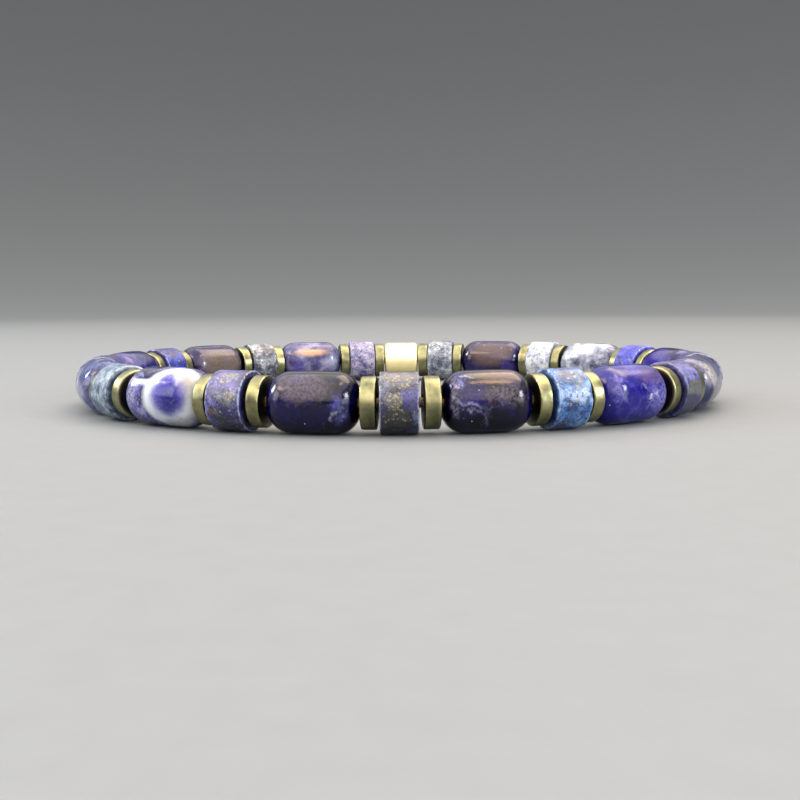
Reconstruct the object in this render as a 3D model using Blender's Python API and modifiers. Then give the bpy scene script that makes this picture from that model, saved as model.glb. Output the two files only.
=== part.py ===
"""A beaded stretch bracelet, modelled at its real size in metres with +Z up.

Sodalite barrels and lapis wheels stand round an oval, with a thin metal spacer between each
two stones and one gold bead at the back. A stretch cord runs through every bore.
The bracelet lies flat: its barrels rest on the plane z = 0 and its middle is over the origin.
"""

from math import atan2, cos, pi, radians, sin

import bpy
import numpy as np
from mathutils import Euler, Vector

MM = 0.001

# Barrels: long polished stones with rounded ends
BARREL_LENGTH = 8.65 * MM
BARREL_RADIUS = 3.0 * MM
BARREL_CORNER = 2.0 * MM
BARREL_CORNER_STEPS = (15, 50, 90)

# Wheels: flat stone cylinders with a small chamfer
WHEEL_LENGTH = 3.65 * MM
WHEEL_RADIUS = 2.94 * MM
WHEEL_CHAMFER = 0.16 * MM

# Spacers: thin metal discs
SPACER_LENGTH = 1.2 * MM
SPACER_RADIUS = 2.52 * MM

# The gold bead at the back
GOLD_LENGTH = 5.0 * MM
GOLD_RADIUS = 2.65 * MM
GOLD_CORNER = 0.55 * MM
GOLD_CORNER_STEPS = (0, 45, 90)

# The cord and the bore that every bead has for it
CORD_RADIUS = 0.5 * MM
BORE_RADIUS = 0.85 * MM

# Stones are cut by hand, so some differ from the common length of their kind
OWN_LENGTH = {
    "sodalite_barrel_01": 8.15 * MM,
    "sodalite_barrel_02": 8.45 * MM,
    "sodalite_barrel_03": 9.0 * MM,
    "sodalite_barrel_06": 8.75 * MM,
    "sodalite_barrel_11": 9.25 * MM,
    "sodalite_barrel_12": 8.4 * MM,
    "lapis_wheel_03": 3.4 * MM,
    "lapis_wheel_13": 3.75 * MM,
}

# The oval that the bead centres follow: its width over its depth
OVAL_RATIO = 1.2
OVAL_SAMPLES = 7200
OVAL_PASSES = 12

# The play between two neighbours, and the radius at which a stone and a spacer would touch
PLAY = 0.175 * MM
SPACER_REACH = {
    "sodalite_barrel": 1.3 * MM,
    "lapis_wheel": SPACER_RADIUS,
    "gold_bead": 2.3 * MM,
}

# The beads at the front stand a little loose: this is added to the gap after each of these
LOOSE_AFTER = {
    "lapis_wheel_01": 0.15 * MM,
    "brass_spacer_01": 0.3 * MM,
    "sodalite_barrel_12": 0.2 * MM,
}

# Each turned bead has this many flats, and one of them lies level at the bottom
FLATS = 16
SHARP_ANGLE = radians(35)

# The order of the beads, counter-clockwise from the middle of the front
STEP = ("brass_spacer", "sodalite_barrel", "brass_spacer", "lapis_wheel")
STRING = (
    ("lapis_wheel",)
    + STEP * 6
    + ("brass_spacer", "gold_bead", "brass_spacer")
    + STEP[::-1] * 6
)
LENGTH = {
    "sodalite_barrel": BARREL_LENGTH,
    "lapis_wheel": WHEEL_LENGTH,
    "brass_spacer": SPACER_LENGTH,
    "gold_bead": GOLD_LENGTH,
}

# Colour, roughness and metallic value of each material
FINISHES = {
    "sodalite_barrel": ((0.035, 0.025, 0.16), 0.12, 0.0),
    "lapis_wheel": ((0.11, 0.13, 0.42), 0.42, 0.0),
    "brass_spacer": ((0.42, 0.35, 0.19), 0.38, 1.0),
    "gold_bead": ((0.95, 0.76, 0.33), 0.2, 1.0),
    "elastic_cord": ((0.62, 0.42, 0.16), 0.45, 0.0),
}


def clear_scene():
    """Removes the objects that the scene starts with."""
    for obj in list(bpy.data.objects):
        bpy.data.objects.remove(obj, do_unlink=True)


def material(kind):
    """One Principled material for a kind of piece."""
    colour, roughness, metallic = FINISHES[kind]
    made = bpy.data.materials.new(kind)
    made.use_nodes = True
    shader = made.node_tree.nodes["Principled BSDF"]
    shader.inputs["Base Color"].default_value = (*colour, 1.0)
    shader.inputs["Roughness"].default_value = roughness
    shader.inputs["Metallic"].default_value = metallic
    return made


def bead_names():
    """Each bead's kind and name, in stringing order. Kinds with several beads are numbered."""
    seen = {}
    named = []
    for kind in STRING:
        seen[kind] = seen.get(kind, 0) + 1
        name = kind if STRING.count(kind) == 1 else f"{kind}_{seen[kind]:02d}"
        named.append((kind, name))
    return named


def rounded_half(length, radius, corner, steps):
    """The upper half of a bead's outer side: from its end face round the corner to its side."""
    return [
        (radius - corner + corner * sin(radians(a)), length / 2 - corner + corner * cos(radians(a)))
        for a in steps
    ]


def outer_half(kind, length):
    """The upper half of the outer side of a bead, as (radius, height) from the bore outwards."""
    if kind == "sodalite_barrel":
        return rounded_half(length, BARREL_RADIUS, BARREL_CORNER, BARREL_CORNER_STEPS)
    if kind == "gold_bead":
        return rounded_half(length, GOLD_RADIUS, GOLD_CORNER, GOLD_CORNER_STEPS)
    if kind == "lapis_wheel":
        return [
            (WHEEL_RADIUS - WHEEL_CHAMFER, length / 2),
            (WHEEL_RADIUS, length / 2 - WHEEL_CHAMFER),
        ]
    return [(SPACER_RADIUS, length / 2)]


def bead_outline(kind, length):
    """The closed outline that is turned into a bead: down the outer side, up the bore."""
    upper = outer_half(kind, length)
    lower = [(r, -z) for r, z in reversed(upper)]
    return [(BORE_RADIUS, length / 2), *upper, *lower, (BORE_RADIUS, -length / 2)]


def turned_mesh(name, outline):
    """A mesh turned about Z from a closed outline, with a level flat towards +X.

    The outline stands half a flat round from +X and a little further out than its radius, so the
    middle of each flat is at the true radius.
    """
    half_flat = pi / FLATS
    points = [
        (r / cos(half_flat) * cos(half_flat), r / cos(half_flat) * sin(half_flat), z)
        for r, z in outline
    ]
    edges = [(i, (i + 1) % len(points)) for i in range(len(points))]
    profile = bpy.data.meshes.new(name + "_outline")
    profile.from_pydata(points, edges, [])
    turned = bpy.data.objects.new(name + "_outline", profile)
    bpy.context.scene.collection.objects.link(turned)
    screw = turned.modifiers.new("Turn", "SCREW")
    screw.steps = FLATS
    screw.render_steps = FLATS
    screw.use_merge_vertices = True
    screw.merge_threshold = 0.001 * MM
    bpy.context.view_layer.update()
    graph = bpy.context.evaluated_depsgraph_get()
    mesh = bpy.data.meshes.new_from_object(turned.evaluated_get(graph))
    mesh.name = name
    mesh.shade_smooth()
    mesh.set_sharp_from_angle(angle=SHARP_ANGLE)
    bpy.data.objects.remove(turned, do_unlink=True)
    bpy.data.meshes.remove(profile)
    return mesh


class Oval:
    """The closed curve that the bead centres follow, measured along its length."""

    def __init__(self, half_width):
        """Samples the oval from the middle of its front, counter-clockwise."""
        half_depth = half_width / OVAL_RATIO
        angle = np.linspace(0.0, 2 * pi, OVAL_SAMPLES + 1)
        self.x = half_width * np.sin(angle)
        self.y = -half_depth * np.cos(angle)
        steps = np.hypot(np.diff(self.x), np.diff(self.y))
        self.along = np.concatenate([[0.0], np.cumsum(steps)])
        self.length = self.along[-1]
        slope = np.arctan2(half_depth * np.sin(angle), half_width * np.cos(angle))
        self.heading = np.unwrap(slope)

    def point(self, place):
        """The point at a distance along the oval."""
        place = place % self.length
        x = np.interp(place, self.along, self.x)
        y = np.interp(place, self.along, self.y)
        return Vector((x, y, 0.0))

    def turn(self, start, end):
        """The angle that the oval turns through between two distances along it."""
        turns = [
            np.interp(p % self.length, self.along, self.heading) + 2 * pi * (p // self.length)
            for p in (start, end)
        ]
        return turns[1] - turns[0]


def string_beads(oval, beads):
    """Places beads one after another along the oval.

    Two neighbours on a bend touch at their inner edges, so their gap on the centre line is the
    play between them and what the bend opens at the radius where they would touch.
    Returns the distance of each bead's centre along the oval and the length that they all need.
    """
    places = [0.0]
    needed = 0.0
    for i, (kind, name, length) in enumerate(beads):
        next_kind, _, next_length = beads[(i + 1) % len(beads)]
        stone = next_kind if kind == "brass_spacer" else kind
        pitch = (length + next_length) / 2
        gap = PLAY + SPACER_REACH[stone] * oval.turn(places[-1], places[-1] + pitch)
        gap += LOOSE_AFTER.get(name, 0.0)
        needed += pitch + gap
        places.append(places[-1] + pitch + gap)
    return places[:-1], needed


def lay_out_beads():
    """Finds the oval that the beads just fill. Returns each bead with its two ends on it."""
    beads = [(kind, name, OWN_LENGTH.get(name, LENGTH[kind])) for kind, name in bead_names()]
    half_width = sum(length for kind, name, length in beads) / (2 * pi)
    for _ in range(OVAL_PASSES):
        oval = Oval(half_width)
        places, needed = string_beads(oval, beads)
        half_width *= needed / oval.length
    height = Vector((0.0, 0.0, BARREL_RADIUS))
    return [
        (
            kind,
            name,
            length,
            oval.point(place - length / 2) + height,
            oval.point(place + length / 2) + height,
        )
        for (kind, name, length), place in zip(beads, places)
    ]


def middle_of(objects):
    """The middle of the objects' common box in plan, from their meshes where they stand."""
    points = [obj.matrix_world @ v.co for obj in objects for v in obj.data.vertices]
    x = [point.x for point in points]
    y = [point.y for point in points]
    return Vector(((min(x) + max(x)) / 2, (min(y) + max(y)) / 2, 0.0))


def add_bead(bead, meshes, materials, collection, parent):
    """Adds one bead, its bore along the chord between its ends."""
    kind, name, length, start, end = bead
    if (kind, length) not in meshes:
        meshes[kind, length] = turned_mesh(name, bead_outline(kind, length))
        meshes[kind, length].materials.append(materials[kind])
    obj = bpy.data.objects.new(name, meshes[kind, length])
    collection.objects.link(obj)
    along = end - start
    obj.location = (start + end) / 2
    obj.rotation_euler = Euler((0.0, pi / 2, atan2(along.y, along.x)))
    obj.parent = parent
    return obj


def add_cord(beads, cord_material, collection, parent):
    """Adds the stretch cord: a closed loop that bends midway between each two beads."""
    curve = bpy.data.curves.new("elastic_cord", "CURVE")
    curve.dimensions = "3D"
    curve.bevel_depth = CORD_RADIUS
    curve.bevel_resolution = 2
    curve.use_fill_caps = True
    spline = curve.splines.new("POLY")
    spline.points.add(len(beads) - 1)
    spline.use_cyclic_u = True
    spline.use_smooth = True
    for i, point in enumerate(spline.points):
        bend = (beads[i - 1][4] + beads[i][3]) / 2
        point.co = (*bend, 1.0)
    curve.materials.append(cord_material)
    obj = bpy.data.objects.new("elastic_cord", curve)
    collection.objects.link(obj)
    obj.parent = parent
    return obj


def main():
    """Builds the bracelet."""
    clear_scene()
    collection = bpy.data.collections.new("beaded_bracelet")
    bpy.context.scene.collection.children.link(collection)
    materials = {kind: material(kind) for kind in FINISHES}
    beads = lay_out_beads()
    bracelet = bpy.data.objects.new("bracelet", None)
    collection.objects.link(bracelet)
    meshes = {}
    strung = [add_bead(bead, meshes, materials, collection, bracelet) for bead in beads]
    add_cord(beads, materials["elastic_cord"], collection, bracelet)
    bpy.context.view_layer.update()
    bracelet.location = -middle_of(strung)


main()
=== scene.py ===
"""A beaded stretch bracelet: polished sodalite and lapis lazuli on an elastic cord.

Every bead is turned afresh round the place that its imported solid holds, with its own stone or
metal. Sizes are in millimetres inside the classes and become metres when a mesh is placed.
"""

import logging
from collections.abc import Callable, Iterable, Sequence
from dataclasses import dataclass, field, replace
from enum import Enum
from math import atan2, cos, degrees, hypot, pi, radians, sin, tau

import bmesh
import bpy
import numpy as np
from bmesh.types import BMesh, BMVert
from bpy.types import ID, Material, Node, NodeSocket, Object
from mathutils import Matrix, Vector, noise


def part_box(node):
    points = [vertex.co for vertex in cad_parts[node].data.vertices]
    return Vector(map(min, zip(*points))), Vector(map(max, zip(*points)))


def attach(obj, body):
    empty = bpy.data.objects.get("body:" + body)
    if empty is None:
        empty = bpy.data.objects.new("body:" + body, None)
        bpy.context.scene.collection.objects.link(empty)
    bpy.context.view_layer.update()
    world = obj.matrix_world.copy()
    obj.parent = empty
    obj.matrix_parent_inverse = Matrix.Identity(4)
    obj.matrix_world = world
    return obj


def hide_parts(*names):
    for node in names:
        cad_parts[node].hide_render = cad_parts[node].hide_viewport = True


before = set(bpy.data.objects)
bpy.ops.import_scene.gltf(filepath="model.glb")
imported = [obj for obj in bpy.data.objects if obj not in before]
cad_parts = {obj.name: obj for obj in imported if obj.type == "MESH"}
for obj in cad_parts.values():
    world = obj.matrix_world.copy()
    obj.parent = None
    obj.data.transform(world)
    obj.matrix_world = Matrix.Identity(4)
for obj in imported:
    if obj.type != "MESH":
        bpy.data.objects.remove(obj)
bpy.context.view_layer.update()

# One millimetre in the frame's metres
MM = 0.001

# How far, in millimetres, a bead may grow into the gap beside it, and what stays open between two
BARREL_GROWTH = 0.16
SPACER_GROWTH = 0.25
WHEEL_SIDE_GROWTH = 0.1
HAIR = 0.04

# The radius at which a spacer would touch a barrel's rounded end, in millimetres
BARREL_REACH = 1.0

Colour = tuple[float, float, float]
Point = tuple[float, float, float]

# The two levels of a value between which something fades in, or out where the first is greater
Span = tuple[float, float]

# Where the colours of a gradient stand on a value
Levels = tuple[float, ...]

# A noise's waves per unit, its octaves and the share that each octave keeps
Cloud = tuple[float, ...]

# A wandering's waves per unit, and how far it moves a point
Bend = tuple[float, float]

log = logging.getLogger("bracelet")


def paint(red: int, green: int, blue: int) -> Colour:
    """Turns a colour as a screen shows it into the linear one that shaders read.

    Args:
        red: the red share, from 0 to 255.
        green: the green share, from 0 to 255.
        blue: the blue share, from 0 to 255.

    Returns:
        The colour in scene-linear values.
    """
    return tuple((c / 255) ** 2.2 for c in (red, green, blue))


class Side(Enum):
    """The side of a bead that a mark lies on: away from the wrist, or towards it."""

    OUTER = -1
    INNER = 1


class Fray(Enum):
    """How ragged a mark's edge is, as a bend in millimetres."""

    SMOOTH = (0.5, 0.3)
    RAGGED = (0.9, 0.8)
    FEATHERED = (1.9, 0.7)


@dataclass(frozen=True)
class Mark:
    """A patch, vein or cloud at one place in a stone, or a painted reflection, highlight or shade there, as
    a soft-edged ellipsoid.

    Its place is given on the bead's skin: in millimetres along the bore, and in degrees of lift
    above the level of the bore on one side. Its size is along the bore, round the bead and into
    the stone, and a turn leans it on the skin. The softness is how much of it fades out, the
    strength how much it covers, and grainy how much of that the stone's grain may thin.
    """

    along: float
    lift: float
    size: Point
    colour: Colour
    softness: float
    strength: float
    grainy: float = 0.5
    fray: Fray = Fray.RAGGED
    turn: float = 0.0
    side: Side = Side.OUTER

    def centre(self, radius: float) -> Vector:
        """The mark's centre on a bead of a radius, in the bead's millimetres."""
        lift = radians(self.lift)
        return Vector((self.along, self.side.value * radius * cos(lift), radius * sin(lift)))

    def rotation(self) -> tuple[float, float, float]:
        """The turn that lays the ellipsoid along the skin, as Euler angles."""
        leaning = Matrix.Rotation(self.side.value * radians(self.lift), 3, "X")
        return tuple((leaning @ Matrix.Rotation(radians(self.turn), 3, "Y")).to_euler())


@dataclass(frozen=True)
class Station:
    """The place of one bead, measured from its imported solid.

    Its own axes are X along the bore, counter-clockwise round the bracelet, -Y away from the
    wrist and Z up.
    """

    node: str
    centre: Vector
    heading: float
    length: float
    radius: float

    @property
    def number(self) -> int:
        """The stone's number among those of its kind."""
        return int(self.node[-2:])

    def placing(self) -> Matrix:
        """The matrix from the bead's own millimetres to the frame's metres."""
        return (
            Matrix.Translation(self.centre)
            @ Matrix.Rotation(self.heading, 4, "Z")
            @ Matrix.Diagonal((MM, MM, MM, 1.0))
        )

    def end(self, way: int) -> Vector:
        """The middle of one end face in the frame: -1 for its first end, 1 for its last."""
        return self.placing() @ Vector((way * self.length / 2, 0.0, 0.0))

    def room(self, other: "Station") -> float:
        """How much of the gap to a neighbour may close, so that the two nearly touch.

        Args:
            other: the next bead on one side.

        Returns:
            The room in millimetres, less what the two beads' lean takes.
        """
        gap = min((self.end(way) - other.end(-way)).length for way in (-1, 1)) / MM
        lean = abs(sin(self.heading - other.heading))
        long_stone = "sodalite" in self.node + other.node
        touching = BARREL_REACH if long_stone else self.radius
        return max(0.0, gap - HAIR - touching * lean)

    def growth(self, other: "Station") -> float:
        """This bead's own part of the room: long stones take it first, then the spacers."""
        room = self.room(other)
        if self.node.startswith("sodalite"):
            return min(BARREL_GROWTH, room)
        if not self.node.startswith("brass"):
            return 0.0
        if other.node.startswith("sodalite"):
            return min(SPACER_GROWTH, room - min(BARREL_GROWTH, room))
        return min(WHEEL_SIDE_GROWTH, room)


def survey(nodes: dict[str, Object]) -> list[Station]:
    """Measures where each bead stands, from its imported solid.

    Args:
        nodes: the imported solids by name.

    Returns:
        The stations in stringing order, counter-clockwise from the middle of the front.
    """
    stations = []
    for name, solid in nodes.items():
        if name.startswith("elastic"):
            continue
        points = np.array([v.co for v in solid.data.vertices])
        low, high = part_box(name)
        centre = Vector((*points[:, :2].mean(0), (low.z + high.z) / 2))
        flat = points[:, :2] - centre.xy
        axes = np.linalg.eigh(flat.T @ flat)[1]
        forward = np.array([-centre.y, centre.x])
        along = max(axes.T, key=lambda axis: abs(axis @ forward))
        along = along * np.sign(along @ forward)
        reach = flat @ along
        stations.append(
            Station(
                node=name,
                centre=centre,
                heading=atan2(along[1], along[0]),
                length=(reach.max() - reach.min()) / MM,
                radius=(high.z - low.z) / 2 / MM,
            )
        )
    return sorted(stations, key=lambda s: atan2(s.centre.x, -s.centre.y) % tau)


def snug(stations: Sequence[Station]) -> list[Station]:
    """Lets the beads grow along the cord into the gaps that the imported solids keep.

    Args:
        stations: the beads in stringing order.

    Returns:
        The same beads, nearly touching as they do on a stretched cord.
    """
    fitted = []
    for i, bead in enumerate(stations):
        before = bead.growth(stations[i - 1])
        after = bead.growth(stations[(i + 1) % len(stations)])
        middle = bead.placing() @ Vector(((after - before) / 2, 0.0, 0.0))
        fitted.append(replace(bead, centre=middle, length=bead.length + before + after))
    return fitted


class Recipe:
    """Builds the nodes of one material; each method adds nodes and returns their output."""

    # The levels of a stone's grain between which it stops thinning the marks
    grain_span: Span = (0.36, 0.62)

    def __init__(self, name: str) -> None:
        """Starts an empty material with an output.

        Args:
            name: the material's name.
        """
        self.material: Material = bpy.data.materials.new(name)
        self.material.use_nodes = True
        self.tree = self.material.node_tree
        self.tree.nodes.clear()
        self.output = self.add("ShaderNodeOutputMaterial")

    def add(self, kind: str, **settings: object) -> Node:
        """Adds a node.

        Args:
            kind: the node's type name.
            settings: its properties.

        Returns:
            The node.
        """
        node = self.tree.nodes.new(kind)
        for name, value in settings.items():
            setattr(node, name, value)
        return node

    def feed(self, node: Node, **values: object) -> Node:
        """Sets or links a node's inputs.

        Args:
            node: the node.
            values: an output to link or a plain value for each input, by the input's name with
                underscores for spaces. An input named in_N is the node's input number N.

        Returns:
            The same node.
        """
        for name, value in values.items():
            key = int(name[3:]) if name.startswith("in_") else name.replace("_", " ")
            socket = node.inputs[key]
            if isinstance(value, NodeSocket):
                self.tree.links.new(value, socket)
            elif socket.type == "RGBA":
                socket.default_value = (*value, 1.0)
            else:
                socket.default_value = value
        return node

    def object_space(self) -> NodeSocket:
        """The frame's own coordinates, in metres."""
        return self.add("ShaderNodeTexCoord").outputs["Object"]

    def millimetres(self) -> NodeSocket:
        """The frame's coordinates in millimetres."""
        return self.stretch(self.object_space(), (1 / MM,) * 3)

    def bead_space(self, station: Station) -> NodeSocket:
        """The bead's own coordinates in millimetres, centred on it.

        Args:
            station: the bead's place.

        Returns:
            The coordinates: X along the bore, -Y away from the wrist, Z up.
        """
        turn = (0.0, 0.0, station.heading)
        return self.fit(self.object_space(), station.centre, turn, (MM,) * 3)

    def fit(self, vector: NodeSocket, place: Vector, turn: Point, size: Point) -> NodeSocket:
        """Coordinates in which a thing of a place, turn and size is one unit large.

        Args:
            vector: the coordinates that it stands in.
            place: its middle.
            turn: its turn, as Euler angles.
            size: its size on its own axes.

        Returns:
            Its own coordinates, centred on it.
        """
        node = self.add("ShaderNodeMapping", vector_type="TEXTURE")
        return self.feed(node, Vector=vector, Location=place, Rotation=turn, Scale=size).outputs["Vector"]

    def attribute(self, name: str) -> NodeSocket:
        """A value that the mesh holds at its vertices."""
        return self.add("ShaderNodeAttribute", attribute_name=name).outputs["Fac"]

    def stretch(self, vector: NodeSocket, scale: Point) -> NodeSocket:
        """Coordinates scaled on each axis."""
        return self.vectors("MULTIPLY", vector, scale)

    def shift(self, vector: NodeSocket, by: Point) -> NodeSocket:
        """Coordinates moved by a fixed step."""
        return self.vectors("ADD", vector, by)

    def vectors(self, operation: str, *values: object) -> NodeSocket:
        """One step of arithmetic on vectors, each an output or three numbers."""
        node = self.add("ShaderNodeVectorMath", operation=operation)
        return self.feed(node, **{f"in_{i}": v for i, v in enumerate(values)}).outputs["Vector"]

    def warp(self, vector: NodeSocket, scale: float, amount: float) -> NodeSocket:
        """Coordinates that wander, so that what reads them has uneven edges.

        Args:
            vector: the coordinates.
            scale: waves per unit.
            amount: how far a point may move.

        Returns:
            The uneven coordinates.
        """
        cloud = self.feed(self.add("ShaderNodeTexNoise"), Vector=vector, Scale=scale, Detail=3.0)
        level = self.vectors("SUBTRACT", cloud.outputs["Color"], (0.5, 0.5, 0.5))
        return self.vectors("MULTIPLY_ADD", level, (2 * amount,) * 3, vector)

    def cloud(self, vector: NodeSocket, scale: float, detail: float = 2.0, rough: float = 0.5) -> NodeSocket:
        """Fractal noise from 0 to 1, mostly near 0.5.

        Args:
            vector: the coordinates.
            scale: waves per unit.
            detail: octaves of finer noise.
            rough: the share that each octave keeps.

        Returns:
            The noise.
        """
        node = self.add("ShaderNodeTexNoise")
        self.feed(node, Vector=vector, Scale=scale, Detail=detail, Roughness=rough)
        return node.outputs["Fac"]

    def cells(self, vector: NodeSocket, scale: float) -> tuple[NodeSocket, NodeSocket]:
        """Random grains.

        Args:
            vector: the coordinates.
            scale: grains per unit.

        Returns:
            The distance from each grain's middle, and a random value for each grain.
        """
        node = self.feed(self.add("ShaderNodeTexVoronoi"), Vector=vector, Scale=scale)
        parts = self.feed(self.add("ShaderNodeSeparateColor"), Color=node.outputs["Color"])
        return node.outputs["Distance"], parts.outputs["Red"]

    def patches(self, vector: NodeSocket, cloud: Cloud, span: Span) -> NodeSocket:
        """Where a cloud shows: 0 before the first level of a span, 1 past the second."""
        return self.between(self.cloud(vector, *cloud), *span)

    def arithmetic(self, operation: str, first: object, second: object = 0.0) -> NodeSocket:
        """One step of arithmetic on two outputs or numbers."""
        node = self.add("ShaderNodeMath", operation=operation)
        return self.feed(node, in_0=first, in_1=second).outputs["Value"]

    def times(self, first: object, second: object) -> NodeSocket:
        """The product of two outputs or numbers."""
        return self.arithmetic("MULTIPLY", first, second)

    def plus(self, first: object, second: object) -> NodeSocket:
        """The sum of two outputs or numbers."""
        return self.arithmetic("ADD", first, second)

    def minus(self, first: object, second: object) -> NodeSocket:
        """The difference of two outputs or numbers."""
        return self.arithmetic("SUBTRACT", first, second)

    def between(self, value: NodeSocket, low: float, high: float) -> NodeSocket:
        """A smooth step: 0 at low, 1 at high, and low may be the greater."""
        node = self.add("ShaderNodeMapRange", interpolation_type="SMOOTHSTEP")
        if low <= high:
            ends = {"From_Min": low, "From_Max": high}
        else:
            ends = {"From_Min": high, "From_Max": low, "To_Min": 1.0, "To_Max": 0.0}
        return self.feed(node, Value=value, **ends).outputs["Result"]

    def gradient(self, value: NodeSocket, places: Sequence[float], tones: Sequence[Colour]) -> NodeSocket:
        """Colours along a value.

        Args:
            value: what the colours follow.
            places: where each colour stands on the value, from 0 to 1.
            tones: the colours.

        Returns:
            The colour.
        """
        node = self.add("ShaderNodeValToRGB")
        points = node.color_ramp.elements
        while len(points) < len(tones):
            points.new(1.0)
        for point, place, tone in zip(points, places, tones):
            point.position = place
            point.color = (*tone, 1.0)
        return self.feed(node, Fac=value).outputs["Color"]

    def mix(self, share: object, first: object, second: object, blend: str = "MIX") -> NodeSocket:
        """Mixes two colours.

        Args:
            share: how much of the second one shows.
            first: a colour or an output.
            second: a colour or an output.
            blend: the way that they mix.

        Returns:
            The mixed colour.
        """
        node = self.add("ShaderNodeMix", data_type="RGBA", blend_type=blend)
        return self.feed(node, in_0=share, in_6=first, in_7=second).outputs[2]

    def lay(self, base: NodeSocket, tone: Colour, cover: NodeSocket, share: float) -> NodeSocket:
        """Lays a colour over another, as far as its cover goes and at most by a share."""
        return self.mix(self.times(cover, share), base, tone)

    def dim(self, colour: NodeSocket, share: float) -> NodeSocket:
        """A colour that keeps only a share of its light."""
        return self.mix(1.0, colour, (share,) * 3, "MULTIPLY")

    def marks(
        self, vector: NodeSocket, grain: NodeSocket, base: NodeSocket, marks: Iterable[Mark], radius: float
    ) -> NodeSocket:
        """Lays marks into a stone's colour, one over another.

        Args:
            vector: the bead's coordinates in millimetres.
            grain: the stone's fine grain, which thins the marks.
            base: the stone's colour so far.
            marks: the marks, the lowest first.
            radius: the bead's radius.

        Returns:
            The colour with the marks.
        """
        uneven = {}
        thick = self.between(grain, *self.grain_span)
        for mark in marks:
            if mark.fray not in uneven:
                uneven[mark.fray] = self.warp(vector, *mark.fray.value)
            cover = self.cover(uneven[mark.fray], mark, radius)
            if mark.grainy:
                kept = self.times(thick, mark.grainy)
                cover = self.times(cover, self.plus(kept, 1.0 - mark.grainy))
            base = self.mix(cover, base, mark.colour)
        return base

    def cover(self, vector: NodeSocket, mark: Mark, radius: float) -> NodeSocket:
        """How far one mark covers the stone: its strength in its middle, 0 outside it."""
        length, height, depth = mark.size
        own = self.fit(vector, mark.centre(radius), mark.rotation(), (length, depth, height))
        away = self.feed(self.add("ShaderNodeVectorMath", operation="LENGTH"), in_0=own)
        inside = self.between(away.outputs["Value"], 1.0, 1.0 - mark.softness)
        return self.times(inside, mark.strength)

    def rings(self, scale: float, detail: float) -> NodeSocket:
        """The fine rings that turning leaves: noise along a bead's outline, from 0 to 1."""
        node = self.add("ShaderNodeTexNoise", noise_dimensions="1D")
        return self.feed(node, W=self.attribute("turning"), Scale=scale, Detail=detail).outputs["Fac"]

    def relief(self, height: NodeSocket, depth: float, below: NodeSocket | None = None) -> NodeSocket:
        """A surface's fine relief.

        Args:
            height: the relief, from 0 to 1.
            depth: its depth in millimetres.
            below: a coarser relief that it lies on.

        Returns:
            The surface's direction.
        """
        node = self.feed(self.add("ShaderNodeBump"), Height=height, Distance=depth * MM)
        if below is not None:
            self.feed(node, Normal=below)
        return node.outputs["Normal"]

    def finish(self, **values: object) -> Material:
        """Ends the recipe in one Principled surface.

        Args:
            values: the surface's inputs, as in feed.

        Returns:
            The material.
        """
        surface = self.feed(self.add("ShaderNodeBsdfPrincipled"), **values)
        self.feed(self.output, Surface=surface.outputs["BSDF"])
        return self.material


NAVY = paint(14, 13, 48)
INK = paint(9, 8, 24)
INDIGO = paint(34, 28, 112)
VIOLET = paint(70, 58, 160)
LILAC = paint(150, 140, 205)
MIST = paint(178, 184, 214)
SNOW = paint(236, 236, 238)
SMOKE = paint(96, 104, 128)
# Painted reflection: an orange band where a warm lamp mirrors in a barrel's polish
PAINTED_AMBER_REFLECTION = paint(236, 182, 126)
# Painted reflection: the brown of a warm wall mirrored in a barrel's polish
PAINTED_TAUPE_REFLECTION = paint(106, 88, 84)


@dataclass(frozen=True)
class SodaliteLook:
    """One sodalite's own colouring: its tones, how much of each shows, and its marks.

    The depth is the share of its light that the whole stone keeps.
    """

    deep: Colour = INK
    body: Colour = NAVY
    light: Colour = INDIGO
    vein: Colour = LILAC
    veins: float = 0.4
    mottling: float = 0.25
    sparkle: float = 0.8
    milkiness: float = 0.1
    depth: float = 0.6
    marks: tuple[Mark, ...] = ()


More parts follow.
